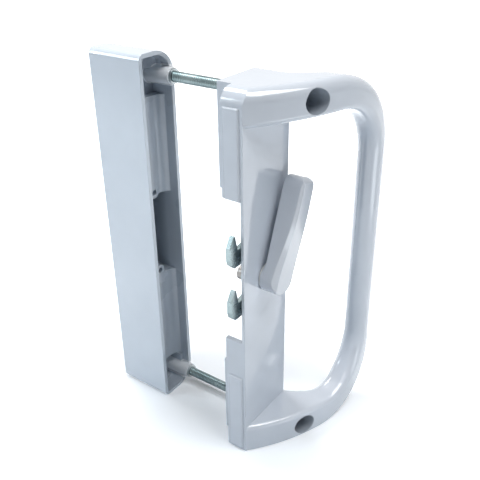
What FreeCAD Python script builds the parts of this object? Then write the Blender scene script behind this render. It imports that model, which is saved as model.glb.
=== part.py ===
import FreeCAD, Part
import math
import os

# Sliding patio door lock: inside D pull with thumb lever and hooks, outside pull, two long screws.
# X runs across the door away from the jamb, Y from the room to the outside, Z up.
# Origin: on the line of the two screws, on the inside face of the door, at the resting plane.

V = FreeCAD.Vector
AXIS_X = V(1, 0, 0)
AXIS_Y = V(0, 1, 0)
AXIS_Z = V(0, 0, 1)

# Mounting
HOLE_SPACING = 168.3
DOOR_GAP = 42.0
SCREW_DIA = 5.0
SCREW_CLEARANCE = 0.4
HEAD_DIA = 9.0
HEAD_HEIGHT = 3.2
HEAD_ROUND = 1.6
DRIVE_WIDTH = 1.1
DRIVE_LENGTH = 5.2
DRIVE_DEPTH = 1.8
COUNTERBORE_CLEARANCE = 0.8
HEAD_SEAT_Y = -11.0
LOW_HOLE_Z = 6.4

# Inside handle, base
ARM_HEIGHT = 14.0
HANDLE_HEIGHT = HOLE_SPACING + ARM_HEIGHT
BASE_WIDTH = 34.2
SCREW_INSET = 27.2
BASE_DEPTH = 18.0
RIM_DEPTH = 10.7
FACE_WALL = 2.2
SIDE_WALL = 2.0
TOP_WALL = 2.8
TOP_CORNER_R = 7.0
TOP_FRONT_R = 5.5
FOOT_INSET = 8.0
FOOT_WALL = 2.8
FOOT_LIFT = 1.5
LOWER_FOOT_TOP = 45.0
WINDOW_BOTTOM = 65.6
WINDOW_TOP = 136.4
WINDOW_LIP = 1.4
PANEL_RAISE = 0.9
PANEL_MARGIN = 1.5
PANEL_BEVEL = 0.45
BOSS_DIA = 15.4

# Inside handle, arms and grip
FRONT_ARC_R = 103.0
FRONT_ARC_START = 42.0
ARM_REACH = 6.0
ARM_ROOT_DEPTH = 9.0
ARM_INNER_R = 2.4
ARM_OUTER_R = 1.0
ARM_DRAFT = 0.05
GUSSET_R = 24.0
CORNER_R = 34.0
GRIP_DIA = 12.2
GRIP_EDGE_R = 5.9

# Outside pull
PULL_WIDTH = 22.2
PULL_DEPTH = 30.8
PULL_TOP_REACH = 12.6
PULL_LEFT = 19.2
PULL_WALL = 2.0
PULL_FLOOR = 8.0
PULL_CORNER_R = 12.0
PULL_SMALL_R = 3.2
PULL_FILL_R = 6.5
PULL_FILL_BAND = 5.0
PULL_BOSS_END_DIA = 7.8
PULL_BOSS_ROOT_DIA = 9.8
PULL_BOSS_OUT = 2.0
PULL_BOSS_FOOT = 6.0
PULL_RIB_THICK = 2.0
PULL_RIB_LOW = 4.0
END_POCKET_REACH = 9.5
END_POCKET_DEPTH = 4.0
END_LEDGE = 7.0
POCKET_BOTTOM = 71.0
POCKET_TOP = 116.0
POCKET_DEPTH = 11.0
EAR_DIA = 6.0
EAR_THICK = 2.4
EAR_HOLE_DIA = 3.0
EAR_X = -7.5
EAR_LOW_UP = 2.0
EAR_HIGH_UP = 1.2
RECESS_BOTTOM = 22.0
RECESS_TOP = 162.0

# Threaded insert in each boss of the outside pull
INSERT_FLANGE = 1.2
INSERT_FLANGE_DIA = 6.8
INSERT_BODY_DIA = 6.2
INSERT_LENGTH = 9.0

# Thumb lever
LEVER_INSET = 17.7
LEVER_Z = 94.2
LEVER_TILT = 20.0
LEVER_LENGTH = 47.3
LEVER_HUB_R = 7.0
LEVER_TIP_HALF = 5.8
LEVER_TIP_R = 5.0
LEVER_LIFT = 2.4
LEVER_BLANK = 14.0
LEVER_SIDE_LOW = 7.0
LEVER_SIDE_GROWTH = 3.6
LEVER_RIDGE_LOW = 9.3
LEVER_RIDGE_GROWTH = 3.0
LEVER_RIGHT_LOW = 9.6
LEVER_RIGHT_GROWTH = 1.4
LEVER_RIDGE_X = -4.4
LEVER_TIP_BEVEL = 4.6
LEVER_ROUND = 0.5
SOCKET_DEPTH = 4.5
JOURNAL_DIA = 8.0
SPINDLE_SIDE = 5.6
BUSH_DIA = 11.0
BUSH_FLANGE_DIA = 12.8
WASHER_DIA = 12.6
WASHER_THICK = 0.4
WASHER_PLAY = 0.3
RUNNING_GAP = 0.05

# Hook slide and crank
SLIDE_FRONT = 3.0
SLIDE_THICK = 2.4
SLIDE_INSET = 9.0
SLIDE_WIDTH = 17.0
SLIDE_END = 12.0
SLIDE_FOOT = 5.4
HOOK_REACH = 5.5
HOOK_TIP_Z = (121.5, 94.9)
HOOK_HEIGHT = 15.7
HOOK_HEAD = 5.8
HOOK_TIP_IN = 3.1
HOOK_TIP_WIDTH = 0.9
HOOK_TIP_DROP = 0.5
HOOK_NOSE_HIGH = 10.4
HOOK_NOSE_LOW = 5.0
HOOK_JAW_IN = 0.6
HOOK_JAW_UP = 2.6
HOOK_CHIN_IN = 3.2
HOOK_CHIN_WIDTH = 2.2
HOOK_ROOT_UP = 0.6
HOOK_ROOT = 12.0
HOOK_BEVEL = 0.3
HOOK_EDGE_R = 0.35
NOTCH_DEPTH = 7.9
NOTCH_RISE = 2.6
CRANK_R = 9.0
CRANK_END_R = 3.4
CRANK_HUB_R = 6.6
LOBE_DIA = 8.4
CRANK_THICK = 2.4
CRANK_GAP = 0.4
CRANK_PIN_DIA = 4.6
PIN_PLAY = 0.25
SLOT_END_PLAY = 0.1
CLIP_DIA = 9.2
CLIP_THICK = 0.6
CLIP_MOUTH = 3.8
CLIP_GRIP = 0.3
SPINDLE_END = 1.0
STUD_DIA = 4.0
STUD_TAIL_DIA = 3.0
STUD_TAIL_DEPTH = 1.4
STUD_PLAY = 0.15
STUD_SHOULDER_PLAY = 0.1
STUD_HEAD_DIA = 7.6
STUD_HEAD_THICK = 1.2
STUD_PAD_DIA = 8.0
STUD_Z = (79.0, 112.0)
STUD_INSET = 16.6

# Cover plate behind the slide
COVER_THICK = 1.4
COVER_LEFT = 14.5
COVER_GAP = 0.3
COVER_MARGIN = 4.0
COVER_CORNER_R = 2.0
COVER_POST_DIA = 6.0
COVER_SCREW_LEFT = 17.6
COVER_SCREW_RIGHT = 5.2
COVER_SCREW_Z = (58.0, 130.0)
COVER_SCREW_DIA = 2.8
COVER_SCREW_LENGTH = 4.0
COVER_SCREW_PLAY = 0.2
COVER_HEAD_DIA = 5.2
COVER_HEAD_HEIGHT = 1.4
COVER_DRIVE_WIDTH = 0.7
COVER_CENTRE_DIA = 11.0

SLIDE_TRAVEL = 2 * CRANK_R * math.sin(math.radians(LEVER_TILT))
LEFT = -SCREW_INSET
RIGHT = LEFT + BASE_WIDTH
LEVER_X = LEFT + LEVER_INSET
STUD_X = LEFT + STUD_INSET
FRONT = -BASE_DEPTH
RIM = FRONT + RIM_DEPTH
PLATE_BACK = FRONT + FACE_WALL
COVER_BACK = RIM - COVER_GAP
LOW_Z = LOW_HOLE_Z
HIGH_Z = LOW_Z + HOLE_SPACING
ARM_Z = ARM_HEIGHT / 2
ARM_END = BASE_WIDTH + ARM_REACH
MIDDLE_Z = HANDLE_HEIGHT / 2
UPPER_FOOT_BOTTOM = WINDOW_TOP
SCREW_HOLE_DIA = SCREW_DIA + 2 * SCREW_CLEARANCE
COUNTERBORE_DIA = HEAD_DIA + 2 * COUNTERBORE_CLEARANCE
PULL_HEIGHT = HIGH_Z + PULL_TOP_REACH
PULL_RIM = DOOR_GAP
PULL_FLOOR_Y = PULL_RIM + PULL_FLOOR
PULL_BACK = PULL_RIM + PULL_DEPTH
PULL_RIGHT = PULL_WIDTH - PULL_LEFT
BOSS_END_Y = PULL_RIM - PULL_BOSS_OUT


def block(x0, x1, y0, y1, z0, z1):
    return Part.makeBox(x1 - x0, y1 - y0, z1 - z0, V(x0, y0, z0))


def rod(x, z, y0, y1, dia):
    return Part.makeCylinder(dia / 2, y1 - y0, V(x, y0, z), AXIS_Y)


def fuse(shapes):
    return shapes[0].multiFuse(shapes[1:]).removeSplitter()


def cut(shape, tools):
    for tool in tools:
        shape = shape.cut(tool)
    return shape.removeSplitter()


def prism(points, direction):
    wire = Part.makePolygon(points + [points[0]])
    return Part.Face(wire).extrude(direction)


def slot(x, z0, z1, y0, y1, width):
    ends = [rod(x, z0, y0, y1, width), rod(x, z1, y0, y1, width)]
    middle = block(x - width / 2, x + width / 2, y0, y1, z0, z1)
    return fuse(ends + [middle])


def mirror_height(shape):
    return shape.mirror(V(0, 0, MIDDLE_Z), AXIS_Z)


def front_y(inset):
    # Front surface of the arms: one arc that leaves the base steeply and turns level.
    start = math.radians(FRONT_ARC_START)
    centre_x = FRONT_ARC_R * math.sin(start)
    centre_y = FRONT_ARC_R * math.cos(start)
    if inset > centre_x:
        return FRONT + centre_y - FRONT_ARC_R
    return FRONT + centre_y - math.sqrt(FRONT_ARC_R ** 2 - (inset - centre_x) ** 2)


def gusset_y(inset):
    # Back surface of the arms: a hollow curve from the side of the base to the level part.
    grip_back = front_y(100) + GRIP_DIA + 0.4
    centre_x = BASE_WIDTH + GUSSET_R
    if inset > centre_x:
        return grip_back
    drop = math.sqrt(max(GUSSET_R ** 2 - (inset - centre_x) ** 2, 0))
    return grip_back + GUSSET_R - drop


def arc_edge(curve, inset0, inset1, z):
    ends = [inset0, (inset0 + inset1) / 2, inset1]
    points = [V(LEFT + inset, curve(inset), z) for inset in ends]
    return Part.Arc(*points).toShape()


def arm_slab(front_round):
    # Lower arm up to the start of the grip's corner. Its root reaches into the base.
    root_end = BASE_WIDTH + 0.2
    root_y = FRONT + ARM_ROOT_DEPTH
    front = arc_edge(front_y, 0, ARM_END, 0)
    back = arc_edge(gusset_y, ARM_END, root_end, 0)
    corners = [
        V(LEFT + ARM_END, front_y(ARM_END), 0),
        V(LEFT + ARM_END, gusset_y(ARM_END), 0),
    ]
    root = [
        V(LEFT + root_end, gusset_y(root_end), 0),
        V(RIGHT - SIDE_WALL, gusset_y(root_end), 0),
        V(RIGHT - SIDE_WALL, root_y, 0),
        V(LEFT, root_y, 0),
        V(LEFT, FRONT, 0),
    ]
    lines = [Part.makeLine(corners[0], corners[1])]
    lines += [Part.makeLine(a, b) for a, b in zip(root, root[1:])]
    wire = Part.Wire(Part.__sortEdges__([front, back] + lines))
    slab = Part.Face(wire).extrude(AXIS_Z * 1.5 * ARM_HEIGHT)
    slab = slab.cut(above_arm())
    slab = slab.makeFillet(ARM_INNER_R, [e for e in long_arcs(slab) if e.CenterOfMass.z > 1])
    outer = [e for e in long_arcs(slab) if e.CenterOfMass.z < 0.01]
    outer.sort(key=lambda edge: edge.CenterOfMass.y)
    slab = slab.makeFillet(front_round, outer[:1])
    outer = [e for e in long_arcs(slab) if e.CenterOfMass.z < 0.01]
    outer.sort(key=lambda edge: edge.CenterOfMass.y)
    return slab.makeFillet(ARM_OUTER_R, outer[-1:])


def above_arm():
    # Everything over the lower arm's inner side, which rises to the door by the draft.
    front_most = front_y(ARM_END) - 1
    back_most = FRONT + ARM_ROOT_DEPTH + 1
    low = V(LEFT - 1, front_most, ARM_HEIGHT - ARM_DRAFT)
    high = V(LEFT - 1, back_most, ARM_HEIGHT + ARM_DRAFT * (back_most - front_most - 1))
    lift = AXIS_Z * ARM_HEIGHT
    return prism([low, high, high + lift, low + lift], AXIS_X * (ARM_END + 2))


def long_arcs(shape):
    return [edge for edge in shape.Edges
            if edge.Length > 0.85 * ARM_HEIGHT and edge.Curve.TypeId != "Part::GeomLine"]


def grip_section(centre, outward, half_height, half_depth, radii, draft):
    # Rounded rectangle, one side along the outward direction and one along Y.
    # The draft lets the side towards the opening rise to the back.

    def place(out, back):
        if out < 0:
            out -= draft * (back + half_depth)
        return centre + outward * out + AXIS_Y * back

    arcs = []
    for su, sv in ((1, 1), (-1, 1), (-1, -1), (1, -1)):
        corner = radii[(su, sv)]
        k = corner * (1 - math.sqrt(0.5))
        out = su * half_height
        back = sv * half_depth
        on_out = place(out, back - sv * corner)
        on_back = place(out - su * corner, back)
        bend = place(out - su * k, back - sv * k)
        arcs.append((on_out, bend, on_back) if su * sv > 0 else (on_back, bend, on_out))
    edges = []
    for i, arc in enumerate(arcs):
        edges.append(Part.Arc(*arc).toShape())
        edges.append(Part.makeLine(arc[2], arcs[(i + 1) % 4][0]))
    return Part.Wire(Part.__sortEdges__(edges))


def grip_corner(slab, front_round):
    # Lower corner of the D: it starts on the arm's end face and turns into the round grip.
    end_face = max(slab.Faces, key=lambda face: face.CenterOfMass.x)
    pivot_x = LEFT + ARM_END
    pivot_z = ARM_Z + CORNER_R
    start = {(1, -1): front_round, (1, 1): ARM_OUTER_R, (-1, 1): ARM_INNER_R, (-1, -1): ARM_INNER_R}
    steps = 6
    wires = [end_face.OuterWire]
    for i in range(1, steps + 1):
        share = i / steps
        angle = math.radians(90 * share)
        outward = V(math.sin(angle), 0, -math.cos(angle))
        reach = V(pivot_x, 0, pivot_z) + outward * CORNER_R
        inset = reach.x - LEFT
        depth = gusset_y(inset) - front_y(inset)
        half_depth = (depth + (GRIP_DIA - depth) * share) / 2
        reach.y = front_y(inset) + half_depth
        half_height = (ARM_HEIGHT + (GRIP_DIA - ARM_HEIGHT) * share) / 2
        radii = {}
        for side, radius in start.items():
            pace = share ** 2 if side[0] > 0 else share
            radii[side] = radius + (GRIP_EDGE_R - radius) * pace
        draft = ARM_DRAFT * (1 - share)
        wires.append(grip_section(reach, outward, half_height, half_depth, radii, draft))
    return Part.makeLoft(wires, True, False), wires[-1]


def handle_block():
    # Base and feet before they are hollowed, rounded along the top of the front.
    solid = block(LEFT, RIGHT, FRONT, 0, 0, HANDLE_HEIGHT)
    edge = [e for e in solid.Edges
            if abs(e.CenterOfMass.y - FRONT) < 0.01 and e.CenterOfMass.z > HANDLE_HEIGHT - 1]
    return solid.makeFillet(TOP_FRONT_R, edge)


def base_shell(arms):
    front_half = block(LEFT, RIGHT, FRONT, RIM, 0, HANDLE_HEIGHT)
    outer = fuse([handle_block().common(front_half)] + arms)
    inner = block(LEFT + SIDE_WALL, RIGHT - SIDE_WALL, PLATE_BACK, RIM,
                  SIDE_WALL, HANDLE_HEIGHT - TOP_WALL)
    window = block(LEFT, LEFT + SIDE_WALL, FRONT + WINDOW_LIP, RIM, WINDOW_BOTTOM, WINDOW_TOP)
    return cut(outer, [inner, window])


def foot(z0, z1):
    outer = block(LEFT + FOOT_INSET, RIGHT, PLATE_BACK, 0, z0, z1)
    inner = block(LEFT + FOOT_INSET + FOOT_WALL, RIGHT - SIDE_WALL, PLATE_BACK, 0,
                  z0 + FOOT_WALL, z1 - FOOT_WALL)
    return cut(outer.common(handle_block()), [inner])


def side_panel(z0, z1):
    # Raised field with bevelled edges on the side that faces the jamb.
    field = block(LEFT - PANEL_RAISE, LEFT, FRONT + PANEL_MARGIN, RIM - PANEL_MARGIN, z0, z1)
    rim = [edge for edge in field.Edges if edge.CenterOfMass.x < LEFT - PANEL_RAISE + 0.01]
    return field.makeChamfer(PANEL_BEVEL, rim)


def corner_rounder():
    # What is cut away over the rounded top corner of the outer wall.
    front_most = front_y(TOP_CORNER_R) - 1
    square = block(LEFT - 1, LEFT + TOP_CORNER_R, front_most, RIM,
                   HANDLE_HEIGHT - TOP_CORNER_R, HANDLE_HEIGHT + 1)
    quarter = rod(LEFT + TOP_CORNER_R, HANDLE_HEIGHT - TOP_CORNER_R, front_most, RIM,
                  2 * TOP_CORNER_R)
    return square.cut(quarter)


def cover_places():
    columns = (LEFT + COVER_SCREW_LEFT, RIGHT - COVER_SCREW_RIGHT)
    return [(x, z) for z in COVER_SCREW_Z for x in columns]


def inside_handle():
    low_slab = arm_slab(ARM_OUTER_R)
    low_corner, end_wire = grip_corner(low_slab, ARM_OUTER_R)
    high_slab = arm_slab(TOP_FRONT_R)
    high_corner = grip_corner(high_slab, TOP_FRONT_R)[0]
    grip_bottom = ARM_Z + CORNER_R
    grip = Part.Face(end_wire).extrude(V(0, 0, HANDLE_HEIGHT - 2 * grip_bottom))
    keep = block(LEFT, RIGHT, FRONT, 0, FOOT_LIFT, HANDLE_HEIGHT)
    bosses = [rod(0, z, PLATE_BACK, 0, BOSS_DIA).common(keep) for z in (LOW_Z, HIGH_Z)]
    pads = [rod(STUD_X, z, PLATE_BACK, FRONT + SLIDE_FRONT - RUNNING_GAP, STUD_PAD_DIA)
            for z in STUD_Z]
    posts = [rod(x, z, PLATE_BACK, COVER_BACK - COVER_THICK, COVER_POST_DIA)
             for x, z in cover_places()]
    body = fuse([
        base_shell([low_slab, mirror_height(high_slab)]),
        low_corner, mirror_height(high_corner), grip,
        foot(FOOT_LIFT, LOWER_FOOT_TOP), foot(UPPER_FOOT_BOTTOM, HANDLE_HEIGHT),
        side_panel(PANEL_MARGIN, LOWER_FOOT_TOP),
        side_panel(UPPER_FOOT_BOTTOM, HANDLE_HEIGHT - TOP_CORNER_R),
    ] + bosses + pads + posts)
    holes = [corner_rounder()]
    outside_y = front_y(SCREW_INSET + COUNTERBORE_DIA)
    for z in (LOW_Z, HIGH_Z):
        holes.append(rod(0, z, outside_y, HEAD_SEAT_Y, COUNTERBORE_DIA))
        holes.append(rod(0, z, HEAD_SEAT_Y, 0, SCREW_HOLE_DIA))
    holes.append(rod(LEVER_X, LEVER_Z, FRONT, PLATE_BACK, BUSH_DIA))
    holes += [rod(STUD_X, z, PLATE_BACK - STUD_TAIL_DEPTH, FRONT + SLIDE_FRONT, STUD_TAIL_DIA)
              for z in STUD_Z]
    holes += [rod(x, z, COVER_BACK - COVER_THICK - COVER_SCREW_LENGTH, RIM, COVER_SCREW_DIA)
              for x, z in cover_places()]
    return cut(body, holes)


def pull_outline(inset, y0, y1):
    # Front view of the pull, seen along Y: large corner away from the jamb, small one towards it.
    x0 = -PULL_LEFT + inset
    x1 = -PULL_LEFT + PULL_WIDTH - inset
    z0 = inset
    z1 = PULL_HEIGHT - inset
    big = PULL_CORNER_R - inset
    small = max(PULL_SMALL_R - inset, 0.6)
    solid = block(x0, x1, y0, y1, z0, z1)
    upright = [edge for edge in solid.Edges
               if abs(edge.tangentAt(0).y) > 0.9]
    far = [e for e in upright if e.CenterOfMass.x > 0]
    near = [e for e in upright if e.CenterOfMass.x < 0]
    solid = solid.makeFillet(big, far)
    near = [edge for edge in solid.Edges
            if edge.Curve.TypeId == "Part::GeomLine"
            and abs(edge.tangentAt(0).y) > 0.9
            and abs(edge.CenterOfMass.x - x0) < 0.01]
    return solid.makeFillet(small, near)


def pull_space(z0, z1, depth):
    # Room cut from the open side down to a depth, inside the pull's wall.
    span = block(-PULL_LEFT, PULL_RIGHT, PULL_RIM, PULL_RIM + depth, z0, z1)
    return pull_outline(PULL_WALL, PULL_RIM, PULL_RIM + depth).common(span)


def pull_fill():
    # Hollow fillet between the floor and the wall away from the jamb.
    wall_x = PULL_RIGHT - PULL_WALL
    centre_y = PULL_FLOOR_Y - PULL_FILL_R
    across = math.sqrt(PULL_FILL_R ** 2 - (PULL_RIM + PULL_FILL_BAND - centre_y) ** 2)
    centre_x = wall_x - across
    corner = block(centre_x, wall_x, centre_y, PULL_FLOOR_Y, 0, PULL_HEIGHT)
    bow = Part.makeCylinder(PULL_FILL_R, PULL_HEIGHT, V(centre_x, centre_y, 0), AXIS_Z)
    return corner.cut(bow)


def pull_recess(y0, z0, z1):
    # Finger room behind the floor, open on the side away from the jamb.
    return block(PULL_WALL - PULL_LEFT, PULL_RIGHT, y0, PULL_BACK - PULL_WALL, z0, z1)


def pull_boss(z):
    length = PULL_FLOOR_Y + PULL_BOSS_FOOT - BOSS_END_Y
    return Part.makeCone(PULL_BOSS_END_DIA / 2, PULL_BOSS_ROOT_DIA / 2, length,
                         V(0, BOSS_END_Y, z), AXIS_Y)


def pull_rib(z0, z1):
    half = PULL_RIB_THICK / 2
    rib = block(-half, half, PULL_RIM + PULL_RIB_LOW, PULL_FLOOR_Y + PULL_BOSS_FOOT, z0, z1)
    return rib.common(pull_outline(PULL_WALL / 2, PULL_RIM, PULL_BACK))


def outside_pull():
    web_y = PULL_FLOOR_Y + PULL_WALL
    pocket_back = PULL_FLOOR_Y + POCKET_DEPTH
    end_depth = PULL_FLOOR + END_POCKET_DEPTH
    low_rim = POCKET_BOTTOM - PULL_WALL
    high_rim = POCKET_TOP + PULL_WALL
    spaces = [
        pull_outline(PULL_WALL, PULL_RIM, PULL_FLOOR_Y).cut(pull_fill()),
        pull_space(PULL_WALL + 1, LOW_Z + END_POCKET_REACH, end_depth),
        pull_space(HIGH_Z - END_POCKET_REACH, PULL_HEIGHT - PULL_WALL - END_LEDGE, end_depth),
        pull_space(POCKET_BOTTOM, POCKET_TOP, PULL_FLOOR + POCKET_DEPTH),
        pull_recess(web_y, RECESS_BOTTOM, low_rim),
        pull_recess(web_y, high_rim, RECESS_TOP),
        pull_recess(pocket_back + PULL_WALL, low_rim, high_rim),
    ]
    body = cut(pull_outline(0, PULL_RIM, PULL_BACK), spaces)
    ear_places = (POCKET_BOTTOM + EAR_LOW_UP, POCKET_TOP + EAR_HIGH_UP)
    ears = [rod(EAR_X, z, PULL_FLOOR_Y, PULL_FLOOR_Y + EAR_THICK, EAR_DIA) for z in ear_places]
    ribs = [pull_rib(LOW_Z, LOW_Z + END_POCKET_REACH), pull_rib(HIGH_Z, PULL_HEIGHT - PULL_WALL)]
    body = fuse([body] + ribs + ears + [pull_boss(z) for z in (LOW_Z, HIGH_Z)])
    holes = [rod(EAR_X, z, PULL_FLOOR_Y, PULL_FLOOR_Y + EAR_THICK, EAR_HOLE_DIA) for z in ear_places]
    for z in (LOW_Z, HIGH_Z):
        holes.append(rod(0, z, BOSS_END_Y, BOSS_END_Y + INSERT_LENGTH, INSERT_BODY_DIA))
        holes.append(rod(0, z, BOSS_END_Y, PULL_FLOOR_Y + PULL_BOSS_FOOT - PULL_WALL, SCREW_HOLE_DIA))
    return cut(body, holes)


def insert(z):
    # Knurled steel insert with a thin flange that closes the end of the boss.
    flange = rod(0, z, BOSS_END_Y - INSERT_FLANGE, BOSS_END_Y, INSERT_FLANGE_DIA)
    body = rod(0, z, BOSS_END_Y, BOSS_END_Y + INSERT_LENGTH, INSERT_BODY_DIA)
    bore = rod(0, z, BOSS_END_Y - INSERT_FLANGE, BOSS_END_Y + INSERT_LENGTH, SCREW_DIA)
    return cut(fuse([flange, body]), [bore])


def mount_screw(z):
    shank = rod(0, z, HEAD_SEAT_Y, BOSS_END_Y + INSERT_LENGTH - 1, SCREW_DIA)
    top = HEAD_SEAT_Y - HEAD_HEIGHT
    head = rod(0, z, top, HEAD_SEAT_Y, HEAD_DIA)
    rim_edge = [edge for edge in head.Edges if abs(edge.CenterOfMass.y - top) < 0.01]
    head = head.makeFillet(HEAD_ROUND, rim_edge)
    wide = DRIVE_LENGTH / 2
    thin = DRIVE_WIDTH / 2
    cross = [block(-wide, wide, top, top + DRIVE_DEPTH, z - thin, z + thin),
             block(-thin, thin, top, top + DRIVE_DEPTH, z - wide, z + wide)]
    return cut(fuse([shank, head]), cross)


def lever_envelope():
    # Upper side of the lever: it climbs from the hub to the tip, and the bevel beside the
    # ridge narrows on the way. Each station is a share of the length and of the climb.
    half = 2 * LEVER_HUB_R
    stations = ((-0.2, -0.17), (0, 0), (0.25, 0.36), (0.5, 0.8), (0.75, 1), (1.02, 1))
    wires = []
    for share, climb in stations:
        z = share * LEVER_LENGTH
        side = LEVER_SIDE_LOW + climb * LEVER_SIDE_GROWTH
        ridge = LEVER_RIDGE_LOW + climb * LEVER_RIDGE_GROWTH
        right = LEVER_RIGHT_LOW + climb * LEVER_RIGHT_GROWTH
        slope = (ridge - side) / (LEVER_HUB_R + LEVER_RIDGE_X)
        fall = (ridge - right) / (LEVER_HUB_R - LEVER_RIDGE_X)
        corners = [
            V(-half, FRONT, z),
            V(-half, FRONT - ridge + slope * (half + LEVER_RIDGE_X), z),
            V(LEVER_RIDGE_X, FRONT - ridge, z),
            V(half, FRONT - ridge + fall * (half - LEVER_RIDGE_X), z),
            V(half, FRONT, z),
        ]
        wires.append(Part.makePolygon(corners + corners[:1]))
    return Part.makeLoft(wires, True, False)


def lever_blade():
    flank = [
        V(LEVER_HUB_R, 0, 0),
        V(LEVER_TIP_HALF, 0, LEVER_LENGTH),
        V(-LEVER_TIP_HALF, 0, LEVER_LENGTH),
        V(-LEVER_HUB_R, 0, 0),
    ]
    blade = prism([point + AXIS_Y * (FRONT - LEVER_BLANK) for point in flank],
                  AXIS_Y * (LEVER_BLANK - LEVER_LIFT))
    tip_edges = [edge for edge in blade.Edges
                 if abs(edge.tangentAt(0).y) > 0.9 and edge.CenterOfMass.z > LEVER_LENGTH - 1]
    return blade.makeFillet(LEVER_TIP_R, tip_edges)


def thumb_lever():
    # Built upright over the pivot, then tilted.
    blank_y = FRONT - LEVER_BLANK
    hub_y = FRONT - 2 * WASHER_THICK
    hub = Part.makeCylinder(LEVER_HUB_R, hub_y - blank_y, V(0, blank_y, 0), AXIS_Y)
    body = fuse([hub, lever_blade()]).common(lever_envelope())
    wide = 2 * LEVER_HUB_R
    tip_bevel = prism([
        V(-wide, blank_y, LEVER_LENGTH - LEVER_TIP_BEVEL),
        V(-wide, blank_y, LEVER_LENGTH + 1),
        V(-wide, blank_y + LEVER_TIP_BEVEL + 1, LEVER_LENGTH + 1),
    ], AXIS_X * 2 * wide)
    body = cut(body, [tip_bevel])
    under = FRONT - LEVER_LIFT
    outer = [edge for edge in body.Edges
             if edge.Length > 2 * LEVER_ROUND and edge.BoundBox.YMax < under - 1]
    body = body.makeFillet(LEVER_ROUND, outer)
    journal = Part.makeCylinder(JOURNAL_DIA / 2, PLATE_BACK - hub_y, V(0, hub_y, 0), AXIS_Y)
    half = SPINDLE_SIDE / 2
    socket = block(-half, half, under - SOCKET_DEPTH, PLATE_BACK, -half, half)
    return tilted(cut(fuse([body, journal]), [socket]))


def tilted(shape):
    shape.rotate(V(0, 0, 0), AXIS_Y, LEVER_TILT)
    shape.translate(V(LEVER_X, 0, LEVER_Z))
    return shape


def crank_front():
    return FRONT + SLIDE_FRONT + SLIDE_THICK + CRANK_GAP


def spindle():
    half = SPINDLE_SIDE / 2
    groove_y = crank_front() + CRANK_THICK
    end = groove_y + CLIP_THICK + SPINDLE_END
    bar = block(-half, half, FRONT - LEVER_LIFT - SOCKET_DEPTH, end, -half, half)
    ring = Part.makeCylinder(SPINDLE_SIDE, CLIP_THICK, V(0, groove_y, 0), AXIS_Y)
    core = Part.makeCylinder(half - CLIP_GRIP, CLIP_THICK, V(0, groove_y, 0), AXIS_Y)
    return tilted(cut(bar, [ring.cut(core)]))


def retaining_clip():
    groove_y = crank_front() + CRANK_THICK
    disc = Part.makeCylinder(CLIP_DIA / 2, CLIP_THICK, V(0, groove_y, 0), AXIS_Y)
    core = Part.makeCylinder(SPINDLE_SIDE / 2 - CLIP_GRIP, CLIP_THICK, V(0, groove_y, 0), AXIS_Y)
    mouth = block(-CLIP_MOUTH / 2, CLIP_MOUTH / 2, groove_y, groove_y + CLIP_THICK, 0, CLIP_DIA)
    return tilted(cut(disc, [core, mouth]))


def lever_bush():
    flange = rod(LEVER_X, LEVER_Z, FRONT - WASHER_THICK, FRONT, BUSH_FLANGE_DIA)
    body = rod(LEVER_X, LEVER_Z, FRONT, PLATE_BACK, BUSH_DIA)
    bore = rod(LEVER_X, LEVER_Z, FRONT - WASHER_THICK, PLATE_BACK, JOURNAL_DIA + 2 * RUNNING_GAP)
    return cut(fuse([flange, body]), [bore])


def lever_washer():
    y1 = FRONT - WASHER_THICK
    ring = rod(LEVER_X, LEVER_Z, y1 - WASHER_THICK, y1, WASHER_DIA)
    bore = rod(LEVER_X, LEVER_Z, y1 - WASHER_THICK, y1, JOURNAL_DIA + 2 * WASHER_PLAY)
    return cut(ring, [bore])


def crank_pin_place():
    # The crank arm points to the jamb and stands the tilt above level when locked.
    angle = math.radians(LEVER_TILT)
    return LEVER_X - CRANK_R * math.cos(angle), LEVER_Z + CRANK_R * math.sin(angle)


def crank():
    y0 = crank_front()
    hub = Part.makeCylinder(CRANK_HUB_R, CRANK_THICK, V(0, y0, 0), AXIS_Y)
    end = Part.makeCylinder(CRANK_END_R, CRANK_THICK, V(-CRANK_R, y0, 0), AXIS_Y)
    arm = prism([V(x, y0, z) for x, z in (
        (0, CRANK_HUB_R), (0, -CRANK_HUB_R), (-CRANK_R, -CRANK_END_R), (-CRANK_R, CRANK_END_R),
    )], V(0, CRANK_THICK, 0))
    half = SPINDLE_SIDE / 2
    square = block(-half, half, y0, y0 + CRANK_THICK, -half, half)
    pin_hole = Part.makeCylinder(CRANK_PIN_DIA / 2, CRANK_THICK, V(-CRANK_R, y0, 0), AXIS_Y)
    return tilted(cut(fuse([hub, end, arm]), [square, pin_hole]))


def crank_pin():
    x, z = crank_pin_place()
    return rod(x, z, FRONT + SLIDE_FRONT, crank_front() + CRANK_THICK, CRANK_PIN_DIA)


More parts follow.
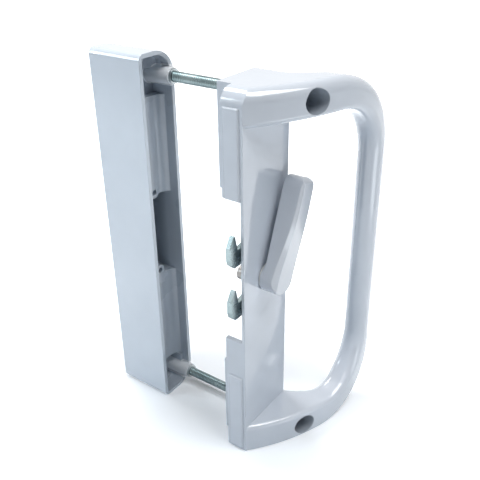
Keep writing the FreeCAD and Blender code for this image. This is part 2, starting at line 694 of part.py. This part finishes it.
def hook(tip_z):
    # One beak, seen along Y: lead-in slope, upright nose, notch behind the beak.
    y0 = FRONT + SLIDE_FRONT
    nose = LEFT - HOOK_REACH
    low = tip_z - HOOK_HEIGHT
    notch_z = tip_z - NOTCH_DEPTH
    tip_end = nose + HOOK_TIP_IN + HOOK_TIP_WIDTH
    root = LEFT + HOOK_ROOT
    outline = [
        (nose + HOOK_TIP_IN, tip_z),
        (tip_end, tip_z - HOOK_TIP_DROP),
        (nose + HOOK_HEAD, notch_z),
        (root, notch_z + NOTCH_RISE),
        (root, low + HOOK_ROOT_UP),
        (nose + HOOK_CHIN_IN + HOOK_CHIN_WIDTH, low),
        (nose + HOOK_CHIN_IN, low),
        (nose + HOOK_JAW_IN, low + HOOK_JAW_UP),
        (nose, low + HOOK_NOSE_LOW),
        (nose, low + HOOK_NOSE_HIGH),
    ]
    plate = prism([V(x, y0, z) for x, z in outline], V(0, SLIDE_THICK, 0))
    upright = [edge for edge in plate.Edges
               if abs(edge.tangentAt(0).y) > 0.9 and edge.CenterOfMass.x < LEFT + 5]
    plate = plate.makeFillet(HOOK_EDGE_R, upright)
    return plate.makeChamfer(HOOK_BEVEL, [e for e in plate.Edges if e.BoundBox.YMax < y0 + 0.01])


def slide_slot(x, z, width):
    # Upright slot that lets the slide go down by its travel around a fixed pin.
    y0 = FRONT + SLIDE_FRONT
    return slot(x, z - SLOT_END_PLAY, z + SLIDE_TRAVEL + SLOT_END_PLAY, y0, y0 + SLIDE_THICK, width)


def hook_slide():
    y0 = FRONT + SLIDE_FRONT
    y1 = y0 + SLIDE_THICK
    pin_x, pin_z = crank_pin_place()
    left = LEFT + SLIDE_INSET
    body = block(left, left + SLIDE_WIDTH, y0, y1, STUD_Z[0] - SLIDE_FOOT, STUD_Z[1] + SLIDE_END)
    lobe = rod(pin_x, pin_z, y0, y1, LOBE_DIA)
    lobe_root = block(pin_x, LEFT + HOOK_ROOT, y0, y1, pin_z - LOBE_DIA / 2, pin_z + LOBE_DIA / 2)
    blank = fuse([body, lobe, lobe_root] + [hook(z) for z in HOOK_TIP_Z])
    holes = [slide_slot(STUD_X, z, STUD_DIA + 2 * STUD_PLAY) for z in STUD_Z]
    holes.append(slide_slot(LEVER_X, LEVER_Z, SPINDLE_SIDE * math.sqrt(2) + 2 * PIN_PLAY))
    across = CRANK_R * (1 - math.cos(math.radians(LEVER_TILT)))
    pin_room = CRANK_PIN_DIA / 2 + PIN_PLAY
    far = pin_x - across - SLOT_END_PLAY
    near = pin_x + SLOT_END_PLAY
    holes += [rod(x, pin_z, y0, y1, 2 * pin_room) for x in (far, near)]
    holes.append(block(far, near, y0, y1, pin_z - pin_room, pin_z + pin_room))
    return cut(blank, holes)


def guide_stud(z):
    pad_y = FRONT + SLIDE_FRONT - RUNNING_GAP
    head_y = FRONT + SLIDE_FRONT + SLIDE_THICK + STUD_SHOULDER_PLAY
    tail = rod(STUD_X, z, PLATE_BACK - STUD_TAIL_DEPTH, pad_y, STUD_TAIL_DIA)
    shoulder = rod(STUD_X, z, pad_y, head_y, STUD_DIA)
    head = rod(STUD_X, z, head_y, head_y + STUD_HEAD_THICK, STUD_HEAD_DIA)
    return fuse([tail, shoulder, head])


def cover_plate():
    y0 = COVER_BACK - COVER_THICK
    plate = block(LEFT + COVER_LEFT, RIGHT - SIDE_WALL - COVER_GAP, y0, COVER_BACK,
                  COVER_SCREW_Z[0] - COVER_MARGIN, COVER_SCREW_Z[1] + COVER_MARGIN)
    upright = [edge for edge in plate.Edges if abs(edge.tangentAt(0).y) > 0.9]
    plate = plate.makeFillet(COVER_CORNER_R, upright)
    hole_dia = COVER_SCREW_DIA + 2 * COVER_SCREW_PLAY
    holes = [rod(x, z, y0, COVER_BACK, hole_dia) for x, z in cover_places()]
    holes.append(rod(LEVER_X, LEVER_Z, y0, COVER_BACK, COVER_CENTRE_DIA))
    return cut(plate, holes)


def cover_screw(x, z):
    top = COVER_BACK + COVER_HEAD_HEIGHT
    shank = rod(x, z, COVER_BACK - COVER_THICK - COVER_SCREW_LENGTH, COVER_BACK, COVER_SCREW_DIA)
    head = rod(x, z, COVER_BACK, top, COVER_HEAD_DIA)
    rim_edge = [edge for edge in head.Edges if abs(edge.CenterOfMass.y - top) < 0.01]
    head = head.makeFillet(COVER_HEAD_HEIGHT / 2, rim_edge)
    thin = COVER_DRIVE_WIDTH / 2
    drive = block(x - COVER_HEAD_DIA / 2, x + COVER_HEAD_DIA / 2, top - COVER_HEAD_HEIGHT / 2, top,
                  z - thin, z + thin)
    return cut(fuse([shank, head]), [drive])


def save(name, shape):
    shape.exportStep("parts/" + name + ".step")


os.makedirs("parts", exist_ok=True)
save("inside_handle", inside_handle())
save("outside_pull", outside_pull())
for label, height in (("bottom", LOW_Z), ("top", HIGH_Z)):
    save("mount_screw_" + label, mount_screw(height))
    save("pull_insert_" + label, insert(height))
save("thumb_lever", thumb_lever())
save("lever_spindle", spindle())
save("lever_bush", lever_bush())
save("lever_washer", lever_washer())
save("spindle_clip", retaining_clip())
save("crank", crank())
save("crank_pin", crank_pin())
save("hook_slide", hook_slide())
for label, height in zip(("lower", "upper"), STUD_Z):
    save("guide_stud_" + label, guide_stud(height))
save("cover_plate", cover_plate())
for number, (x, z) in enumerate(cover_places(), 1):
    save("cover_screw_" + str(number), cover_screw(x, z))
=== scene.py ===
import math
import bpy
from mathutils import Matrix, Vector


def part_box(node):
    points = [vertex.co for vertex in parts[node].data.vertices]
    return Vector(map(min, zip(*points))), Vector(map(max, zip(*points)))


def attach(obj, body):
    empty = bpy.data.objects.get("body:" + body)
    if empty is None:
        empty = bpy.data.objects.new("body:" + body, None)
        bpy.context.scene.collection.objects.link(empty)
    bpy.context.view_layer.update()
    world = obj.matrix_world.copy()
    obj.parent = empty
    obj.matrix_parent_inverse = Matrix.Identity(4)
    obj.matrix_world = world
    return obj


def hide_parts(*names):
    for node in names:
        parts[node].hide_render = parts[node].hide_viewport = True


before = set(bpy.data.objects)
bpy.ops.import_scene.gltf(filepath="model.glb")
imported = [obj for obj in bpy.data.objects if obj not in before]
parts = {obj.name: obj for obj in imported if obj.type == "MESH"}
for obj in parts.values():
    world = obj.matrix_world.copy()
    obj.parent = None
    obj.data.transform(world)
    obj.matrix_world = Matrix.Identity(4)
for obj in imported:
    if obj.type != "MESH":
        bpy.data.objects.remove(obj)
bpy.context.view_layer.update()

# Inside handle.
# One zinc die casting: base shell, two curved arms, round grip, two deeper feet behind the arms.
# Tumbled, then powder coated in gloss white, so its skin is smooth with a faint orange peel.


class Wire:
    """A node's output. Sums, differences and products of wires add Math nodes."""

    def __init__(self, tree, socket=None):
        self.tree = tree
        self.socket = socket

    def node(self, kind, inputs=(), settings=(), out=0):
        made = self.tree.nodes.new(kind)
        for name, value in dict(settings).items():
            setattr(made, name, value)
        for name, value in dict(inputs).items():
            if isinstance(value, Wire):
                self.tree.links.new(value.socket, made.inputs[name])
            else:
                made.inputs[name].default_value = value
        return Wire(self.tree, made.outputs[out] if made.outputs else None)

    def reckon(self, operation, first, second):
        return self.node("ShaderNodeMath", {0: first, 1: second}, {"operation": operation})

    def __add__(self, other):
        return self.reckon("ADD", self, other)

    def __radd__(self, other):
        return self.reckon("ADD", other, self)

    def __sub__(self, other):
        return self.reckon("SUBTRACT", self, other)

    def __rsub__(self, other):
        return self.reckon("SUBTRACT", other, self)

    def __mul__(self, other):
        return self.reckon("MULTIPLY", self, other)

    def __rmul__(self, other):
        return self.reckon("MULTIPLY", other, self)

    def noise(self, place, scale, detail=3.0, roughness=0.55):
        return self.node("ShaderNodeTexNoise", {
            "Vector": place, "Scale": scale, "Detail": detail, "Roughness": roughness,
        })

    def blend(self, share, dark, light):
        colours = {0: share, 6: dark, 7: light}
        return self.node("ShaderNodeMix", colours, {"data_type": "RGBA"}, out=2)

    def span(self, value, low, high):
        """0 up to low, 1 from high on, and even between. Low may be the larger one."""
        return self.node("ShaderNodeMapRange", {
            "Value": value, "From Min": low, "From Max": high,
        })

    def between(self, value, low, high, fade):
        """1 from low to high, and 0 further off than the fade."""
        return self.span(value, low - fade, low) * self.span(value, high + fade, high)

    def distance(self, place, centre, reach=(1, 1, 1)):
        """How far a place is from a centre. A reach of 0 leaves that axis out."""
        offset = self.node("ShaderNodeVectorMath", {0: place, 1: centre},
                           {"operation": "SUBTRACT"})
        kept = self.node("ShaderNodeVectorMath", {0: offset, 1: reach},
                         {"operation": "MULTIPLY"})
        return self.node("ShaderNodeVectorMath", {0: kept}, {"operation": "LENGTH"}, out=1)

    def bump(self, height, depth, edge):
        """A relief of that depth, on edges that are rounded by the radius edge."""
        rounded = self.node("ShaderNodeBevel", {"Radius": edge}, {"samples": 4})
        return self.node("ShaderNodeBump", {
            "Height": height, "Distance": depth, "Normal": rounded,
        })


def start_finish(name):
    finish = bpy.data.materials.new(name)
    finish.use_nodes = True
    finish.node_tree.nodes.clear()
    wire = Wire(finish.node_tree)
    return finish, wire, wire.node("ShaderNodeTexCoord", out="Object")


def end_finish(wire, inputs):
    shader = wire.node("ShaderNodeBsdfPrincipled", inputs)
    wire.node("ShaderNodeOutputMaterial", {"Surface": shader})


coat_rough = 0.1
cloud_rough = 0.08
dust_rough = 0.15
coat_gloss = 0.7
dull_rough = 0.25
dull_gloss = 0.1
peel_share = 0.16


def enamel(name, light, shade, dull_painted_shade=None):
    """Gloss powder coat. The last argument gives where painted shade darkens and dulls it, and its
    colour.
    """
    finish, wire, place = start_finish(name)
    cloud = wire.noise(place, scale=35.0)
    peel = wire.noise(place, scale=620.0, detail=2.0)
    wave = wire.noise(place, scale=90.0, detail=2.0)
    dust = wire.span(wire.noise(place, scale=1500.0, detail=1.0), 0.68, 0.8)
    rough = coat_rough + cloud * cloud_rough + dust * dust_rough
    colour = wire.blend(wire.span(cloud, 0.35, 0.65), shade, light)
    gloss = coat_gloss
    if dull_painted_shade:
        # Painted shade: a darker colour in recesses, with a duller, rougher coat there.
        dull_shade_share, colour = dull_painted_shade(wire, place, colour)
        rough = rough + dull_shade_share * dull_rough
        gloss = coat_gloss - dull_shade_share * (coat_gloss - dull_gloss)
    end_finish(wire, {
        "Base Color": colour,
        "Roughness": rough,
        "Coat Weight": gloss,
        "Coat Roughness": 0.04,
        "Normal": wire.bump(peel * peel_share + wave, depth=0.00012, edge=0.00045),
    })
    return finish


def paint(finish, *names):
    for name in names:
        for slot in parts[name].material_slots:
            slot.material = finish


screw_heights = [(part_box(name)[0][2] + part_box(name)[1][2]) / 2
                 for name in ("mount_screw_bottom", "mount_screw_top")]


def around_screws(wire, place, radius, fade):
    """1 within a radius of the line of either fixing screw, and 0 elsewhere."""
    near = [wire.span(wire.distance(place, (0, 0, height), (1, 0, 1)), radius + fade, radius)
            for height in screw_heights]
    return near[0] + near[1]


mask_margin = 0.0001
counterbore_radius = 0.0053
shade_start_y = -0.004
shade_full_y = -0.006
counterbore_shade_share = 0.7
# Colour of the painted shade in the handle's holes and in the pull's channel.
painted_shade_colour = (0.27, 0.31, 0.36, 1)


def counterbores(wire, place, colour):
    """Painted shade on the walls of the two deep holes: a darker colour and a duller coat."""
    y = wire.node("ShaderNodeSeparateXYZ", {0: place}, out="Y")
    dull_shade_share = around_screws(wire, place, counterbore_radius + mask_margin, mask_margin)
    dull_shade_share = dull_shade_share * wire.span(y, shade_start_y, shade_full_y) * counterbore_shade_share
    return dull_shade_share, wire.blend(dull_shade_share, colour, painted_shade_colour)


# The handle's coat, with painted shade in its two counterbores.
casting_white = enamel("casting_white", (0.6, 0.65, 0.72, 1), (0.57, 0.62, 0.69, 1),
                       counterbores)
paint(casting_white, "inside_handle")

# Lever bush and washer.
# The bush is moulded in white nylon and pressed into the face, with its flange outside. A flat
# ring of spring steel lies between the flange and the lever's hub.
nylon_rough = 0.42
grain_rough = 0.15
nylon, wire, place = start_finish("bush_nylon")
grains = wire.noise(place, scale=700.0)
end_finish(wire, {
    "Base Color": wire.blend(grains, (0.66, 0.66, 0.63, 1), (0.74, 0.74, 0.71, 1)),
    "Roughness": nylon_rough + grains * grain_rough,
    "Normal": wire.bump(grains, depth=0.00003, edge=0.0002),
})
paint(nylon, "lever_bush")


plate_cloud_rough = 0.12
stroke_rough = 0.08


def plated(name, dark, light, rough, grain, edge=0.00025):
    """Zinc plate or bare steel. A larger number in grain makes its strokes finer on that axis."""
    finish, wire, place = start_finish(name)
    cloud = wire.noise(place, scale=90.0, detail=4.0)
    drawn = wire.node("ShaderNodeMapping", {"Vector": place, "Scale": grain})
    strokes = wire.noise(drawn, scale=300.0, detail=4.0, roughness=0.7)
    end_finish(wire, {
        "Base Color": wire.blend(wire.span(cloud, 0.3, 0.7), dark, light),
        "Metallic": 1.0,
        "Roughness": rough + cloud * plate_cloud_rough + strokes * stroke_rough,
        "Normal": wire.bump(strokes, depth=0.00001, edge=edge),
    })
    return finish


spring_steel = plated("spring_steel", (0.36, 0.37, 0.38, 1), (0.48, 0.49, 0.5, 1),
                      rough=0.22, grain=(1, 1, 1))
paint(spring_steel, "lever_washer")

# Thumb lever and spindle.
# The lever is a small zinc casting with a ridge, coated like the handle. It is pressed on a square
# steel bar that turns the crank behind the face.
lever_white = enamel("lever_white", (0.6, 0.64, 0.7, 1), (0.57, 0.61, 0.67, 1))
paint(lever_white, "thumb_lever")
bar_steel = plated("bar_steel", (0.42, 0.44, 0.45, 1), (0.55, 0.57, 0.58, 1),
                   rough=0.25, grain=(1, 9, 1))
paint(bar_steel, "lever_spindle")

# Hook slide and guide studs.
# Stamped with both hooks in one piece from 2.4 mm steel strip and zinc plated. It runs on two
# shouldered studs that are riveted to pads of the face.
slide_zinc = plated("slide_zinc", (0.21, 0.27, 0.28, 1), (0.34, 0.4, 0.41, 1),
                    rough=0.18, grain=(1, 1, 6), edge=0.00008)
paint(slide_zinc, "hook_slide")
stud_zinc = plated("stud_zinc", (0.4, 0.45, 0.46, 1), (0.58, 0.62, 0.63, 1),
                   rough=0.2, grain=(6, 1, 6))
paint(stud_zinc, "guide_stud_lower", "guide_stud_upper")

# Crank, pin and clip.
# The crank is cut from strip like the slide, with its pin riveted in. A spring clip in the
# spindle's groove holds it.
crank_zinc = plated("crank_zinc", (0.17, 0.165, 0.16, 1), (0.3, 0.29, 0.28, 1),
                    rough=0.26, grain=(5, 1, 1))
paint(crank_zinc, "crank", "crank_pin")
paint(spring_steel, "spindle_clip")

# Cover plate and its screws.
# Thin zinc plated sheet that closes the mechanism, with its rolling strokes across it. Four
# slotted screws hold it to cast posts.
cover_zinc = plated("cover_zinc", (0.5, 0.55, 0.56, 1), (0.66, 0.7, 0.71, 1),
                    rough=0.24, grain=(1, 1, 12))
paint(cover_zinc, "cover_plate")
small_zinc = plated("small_screw_zinc", (0.5, 0.54, 0.54, 1), (0.68, 0.71, 0.71, 1),
                    rough=0.2, grain=(9, 1, 9))
paint(small_zinc, "cover_screw_1", "cover_screw_2", "cover_screw_3", "cover_screw_4")

# Outside pull.
# A second zinc casting, open towards the door, with two screw bosses, ribs, a deep pocket and a
# hidden finger room behind. It has the same white coat as the handle, coloured lighter as painted
# light, with painted shade on the walls of its channel and painted light on the bosses in it.
pull_low, pull_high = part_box("outside_pull")
pull_width = 0.0222
pull_wall = 0.002
inside_left = pull_low[0] + pull_wall
inside_right = pull_low[0] + pull_width - pull_wall
inside_bottom = pull_low[2] + pull_wall
inside_top = pull_high[2] - pull_wall
pull_fade = 0.0005
boss_radius = 0.005
boss_foot_y = pull_low[1] + 0.016
floor_y = pull_low[1] + 0.0105
pocket_bottom = 0.07
pocket_top = 0.117
pocket_depth = 0.011
low_end_top = 0.018
high_end_bottom = 0.1635
end_depth = 0.004
mouth_shade_share = 0.55
# Painted light: the bosses in the channel are coloured much lighter than the pull's coat.
boss_painted_light = (0.84, 0.87, 0.9, 1)


def channel(wire, place, colour):
    """Painted shade inside the channel, darkest deep in the pocket, with a duller coat; not on the
    bosses.
    """
    x, y, z = [wire.node("ShaderNodeSeparateXYZ", {0: place}, out=axis) for axis in "XYZ"]
    in_width = wire.between(x, inside_left - mask_margin, inside_right + mask_margin, mask_margin)
    in_height = wire.between(z, inside_bottom - mask_margin, inside_top + mask_margin, mask_margin)
    pocket = wire.between(z, pocket_bottom, pocket_top, pull_fade)
    low_end = wire.span(z, low_end_top + pull_fade, low_end_top)
    high_end = wire.span(z, high_end_bottom - pull_fade, high_end_bottom)
    bottom = floor_y + pocket * pocket_depth + (low_end + high_end) * end_depth
    inside = in_width * in_height * wire.span(y - bottom, pull_fade, 0)
    painted_light_bosses = around_screws(wire, place, boss_radius, 2 * mask_margin)
    painted_light_bosses = painted_light_bosses * wire.span(y, boss_foot_y + pull_fade, boss_foot_y - pull_fade)
    # The painted shade grows from part strength at the channel's floor to full deep in the pocket.
    shade_depth_share = mouth_shade_share + wire.span(y, floor_y, boss_foot_y) * (1 - mouth_shade_share)
    dull_shade_share = inside * shade_depth_share * (1 - painted_light_bosses)
    return dull_shade_share, wire.blend(painted_light_bosses, wire.blend(dull_shade_share, colour, painted_shade_colour), boss_painted_light)


# Painted light: the same white coat as the handle, coloured lighter.
pull_white_painted_lighter = enamel("pull_white_painted_lighter", (0.65, 0.72, 0.8, 1), (0.62, 0.69, 0.77, 1), channel)
paint(pull_white_painted_lighter, "outside_pull")

# Inserts of the pull.
# Turned steel, threaded inside and zinc plated, pressed into the bosses. A flange closes the end
# of each boss.
insert_zinc = plated("insert_zinc", (0.42, 0.46, 0.47, 1), (0.6, 0.64, 0.65, 1),
                     rough=0.2, grain=(8, 1, 8))
paint(insert_zinc, "pull_insert_bottom", "pull_insert_top")

# Fixing screws.
# Long machine screws with rolled threads and cross recessed heads, zinc plated. They go through
# the handle's arms and the door into the inserts.
screw_zinc = plated("screw_zinc", (0.12, 0.17, 0.18, 1), (0.25, 0.31, 0.32, 1),
                    rough=0.16, grain=(6, 1, 6), edge=0.00003)
screw_low, screw_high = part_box("mount_screw_bottom")
screw_z = screw_heights[0]
head_top = screw_low[1]
head_radius = 0.0045
head_height = 0.0032
head_round = 0.0015
head_sides = 48
cross_length = 0.0052
cross_width = 0.0011
cross_depth = 0.0018
smooth_angle = math.radians(38)
crest_radius = 0.0025
thread_depth = 0.0003
thread_pitch = 0.001
thread_sides = 20
root_radius = crest_radius - thread_depth
thread_start = head_top + head_height - thread_pitch / 2
turns = round((screw_high[1] - thread_start) / thread_pitch) - 1
same_point = 0.000005


def apply_modifier(piece, kind, settings):
    bpy.context.view_layer.objects.active = piece
    modifier = piece.modifiers.new("work", kind)
    for name, value in settings.items():
        setattr(modifier, name, value)
    bpy.ops.object.modifier_apply(modifier=modifier.name)


def pick(piece, kind, rule):
    """Leaves the piece in edit mode, with the points or edges that the rule names selected."""
    bpy.context.view_layer.objects.active = piece
    bpy.ops.object.mode_set(mode="EDIT")
    bpy.ops.mesh.select_mode(type={"vertices": "VERT", "edges": "EDGE"}[kind])
    bpy.ops.mesh.select_all(action="DESELECT")
    bpy.ops.object.mode_set(mode="OBJECT")
    for item in getattr(piece.data, kind):
        item.select = rule(item)
    bpy.ops.object.mode_set(mode="EDIT")


# One tooth of the thread, wound along the shank.
bpy.ops.object.select_all(action="DESELECT")
bpy.ops.mesh.primitive_circle_add(vertices=4, radius=thread_pitch / 2,
                                  location=(root_radius, thread_start + thread_pitch / 2, 0))
screw = bpy.context.object
screw.name = "fixing_screw_lower"
bpy.ops.object.transform_apply()
pick(screw, "vertices", lambda corner: corner.co.x < root_radius - thread_pitch / 4)
bpy.ops.mesh.delete(type="VERT")
bpy.ops.mesh.select_all(action="SELECT")
bpy.ops.transform.resize(value=(2 * thread_depth / thread_pitch, 1, 1),
                         center_override=(root_radius, 0, 0))
bpy.ops.object.mode_set(mode="OBJECT")
apply_modifier(screw, "SCREW", {
    "axis": "Y", "screw_offset": thread_pitch, "iterations": turns,
    "steps": thread_sides, "render_steps": thread_sides,
    "use_merge_vertices": True, "merge_threshold": same_point,
})
bpy.ops.object.mode_set(mode="EDIT")
bpy.ops.mesh.select_all(action="SELECT")
bpy.ops.mesh.remove_doubles(threshold=same_point)
bpy.ops.mesh.fill_holes(sides=0)
bpy.ops.mesh.select_all(action="SELECT")
bpy.ops.mesh.normals_make_consistent(inside=False)
bpy.ops.transform.translate(value=(0, 0, screw_z))
bpy.ops.object.mode_set(mode="OBJECT")

# The head, rounded at its rim, with its cross cut by two bars.
bpy.ops.object.select_all(action="DESELECT")
bpy.ops.mesh.primitive_cylinder_add(vertices=head_sides, radius=head_radius, depth=head_height,
                                    location=(0, head_top + head_height / 2, screw_z),
                                    rotation=(math.pi / 2, 0, 0))
head = bpy.context.object
bpy.ops.object.transform_apply()
pick(head, "edges", lambda edge: all(
    head.data.vertices[end].co.y < head_top + head_height / 2 for end in edge.vertices))
bpy.ops.mesh.bevel(offset=head_round, segments=5)
bpy.ops.object.mode_set(mode="OBJECT")
for bar_size in ((cross_length, 2 * cross_depth, cross_width),
                 (cross_width, 2 * cross_depth, cross_length)):
    bpy.ops.object.select_all(action="DESELECT")
    bpy.ops.mesh.primitive_cube_add(size=1, location=(0, head_top, screw_z), scale=bar_size)
    bar = bpy.context.object
    bpy.ops.object.transform_apply()
    apply_modifier(head, "BOOLEAN", {"object": bar, "operation": "DIFFERENCE", "solver": "EXACT"})
    bpy.data.objects.remove(bar)
bpy.ops.object.select_all(action="DESELECT")
head.select_set(True)
screw.select_set(True)
bpy.context.view_layer.objects.active = screw
bpy.ops.object.join()
bpy.ops.object.shade_smooth_by_angle(angle=smooth_angle)
screw.data.materials.clear()
screw.data.materials.append(screw_zinc)

# The upper screw is a copy of the lower one.
bpy.ops.object.duplicate(linked=False)
upper = bpy.context.object
upper.name = "fixing_screw_upper"
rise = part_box("mount_screw_top")[0][2] - screw_low[2]
bpy.ops.transform.translate(value=(0, 0, rise))
bpy.ops.object.transform_apply()
for piece, node in ((screw, "mount_screw_bottom"), (upper, "mount_screw_top")):
    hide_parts(node)
    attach(piece, "lock_set")

# Floor.
# A wide sheet of white paper. It takes the soft shadow near the object. The glow that the camera
# and reflections see is dim near the foot, a painted shade, and rises to plain white further out,
# where it is painted light over the shadows there.
floor_size = 30.0
foot = (-0.005, 0.01, 0)
shade_radius = 0.045
white_radius = 0.17
shade_glow = (0.18, 0.18, 0.18, 1)
paper_dark = (0.8, 0.84, 0.88, 1)
paper_light = (0.85, 0.89, 0.93, 1)


def looked_at(wire):
    """1 for what the camera, a reflection or a clear part shows, and 0 for light on the object."""
    rays = [wire.node("ShaderNodeLightPath", out=name)
            for name in ("Is Camera Ray", "Is Glossy Ray", "Is Transmission Ray")]
    return rays[0] + rays[1] + rays[2]


bpy.ops.object.select_all(action="DESELECT")
bpy.ops.mesh.primitive_plane_add(size=floor_size)
floor = bpy.context.object
floor.name = "paper_floor"
paper, wire, place = start_finish("white_paper")
fibre = wire.noise(place, scale=400.0)
sheet = wire.node("ShaderNodeBsdfDiffuse", {"Color": wire.blend(fibre, paper_dark, paper_light)})
# Painted shade near the foot and painted light further out: the glow grows with the distance.
away = wire.span(wire.distance(place, foot), shade_radius, white_radius)
glow = wire.node("ShaderNodeEmission", {
    "Color": wire.blend(away, shade_glow, (1, 1, 1, 1)), "Strength": 1.0,
})
lit = wire.node("ShaderNodeAddShader", {0: sheet, 1: glow})
seen = wire.node("ShaderNodeMixShader", {0: looked_at(wire), 1: sheet, 2: lit})
wire.node("ShaderNodeOutputMaterial", {"Surface": seen})
floor.data.materials.append(paper)

# Lamps.
# Four softboxes high above: over the object, behind it, on the left and in front. A cool one lower
# down behind the jamb side and a small card near the floor fill the shadows, in a dim room.
room_colour = (0.92, 0.96, 1.0, 1)
room_strength = 0.02
aim = Vector((0, 0.02, 0.09))
world = bpy.data.worlds.new("dim_room")
bpy.context.scene.world = world
world.use_nodes = True
world.node_tree.nodes.clear()
sky = Wire(world.node_tree)
room = sky.node("ShaderNodeBackground", {"Color": room_colour, "Strength": room_strength})
white = sky.node("ShaderNodeBackground", {"Color": (1, 1, 1, 1), "Strength": 1.0})
around = sky.node("ShaderNodeMixShader", {0: looked_at(sky), 1: room, 2: white})
sky.node("ShaderNodeOutputWorld", {"Surface": around})


def softbox(name, place, size, power, tint=(1.0, 1.0, 1.0)):
    data = bpy.data.lights.new(name, "AREA")
    data.shape = "RECTANGLE"
    data.size, data.size_y = size
    data.energy = power
    data.color = tint
    lamp = bpy.data.objects.new(name, data)
    bpy.context.scene.collection.objects.link(lamp)
    lamp.location = place
    lamp.rotation_euler = (aim - Vector(place)).to_track_quat("-Z", "Y").to_euler()


softbox("top_box", (0.0, 0.0, 1.2), size=(0.5, 0.5), power=3.0)
softbox("key_box", (0.1, 0.52, 1.06), size=(0.35, 0.35), power=5.2, tint=(1.0, 0.98, 0.97))
softbox("left_box", (-0.5, -0.1, 1.06), size=(0.4, 0.4), power=0.8)
softbox("front_box", (0.05, -0.45, 1.06), size=(0.5, 0.5), power=6.2)
softbox("jamb_box", (-0.45, 0.5, 0.4), size=(0.25, 0.25), power=1.9, tint=(0.84, 0.93, 1.0))
softbox("low_card", (-0.02, -0.27, 0.03), size=(0.14, 0.06), power=0.08, tint=(0.9, 0.96, 1.0))

# Camera.
# It stands where the photograph was taken from: left of the handle and above it, looking down,
# with the lens fitted to the photograph's straight edges.
eye = (-0.22656, -0.16183, 0.2494)
yaw = math.radians(53.85)
pitch = math.radians(27.81)
roll = math.radians(-0.85)
level = Vector((math.sin(yaw), math.cos(yaw), 0))
across = Vector((math.cos(yaw), -math.sin(yaw), 0))
ahead = level * math.cos(pitch) - Vector((0, 0, math.sin(pitch)))
upward = level * math.sin(pitch) + Vector((0, 0, math.cos(pitch)))
right = across * math.cos(roll) + upward * math.sin(roll)
above = upward * math.cos(roll) - across * math.sin(roll)
lens = bpy.data.cameras.new("camera")
lens.sensor_width = 36.0
lens.lens = 49.92
lens.clip_start = 0.01
camera = bpy.data.objects.new("camera", lens)
bpy.context.scene.collection.objects.link(camera)
facing = Matrix((right, above, -ahead)).transposed().to_4x4()
camera.matrix_world = Matrix.Translation(eye) @ facing
bpy.context.scene.camera = camera

bpy.context.scene.view_settings.view_transform = "Standard"
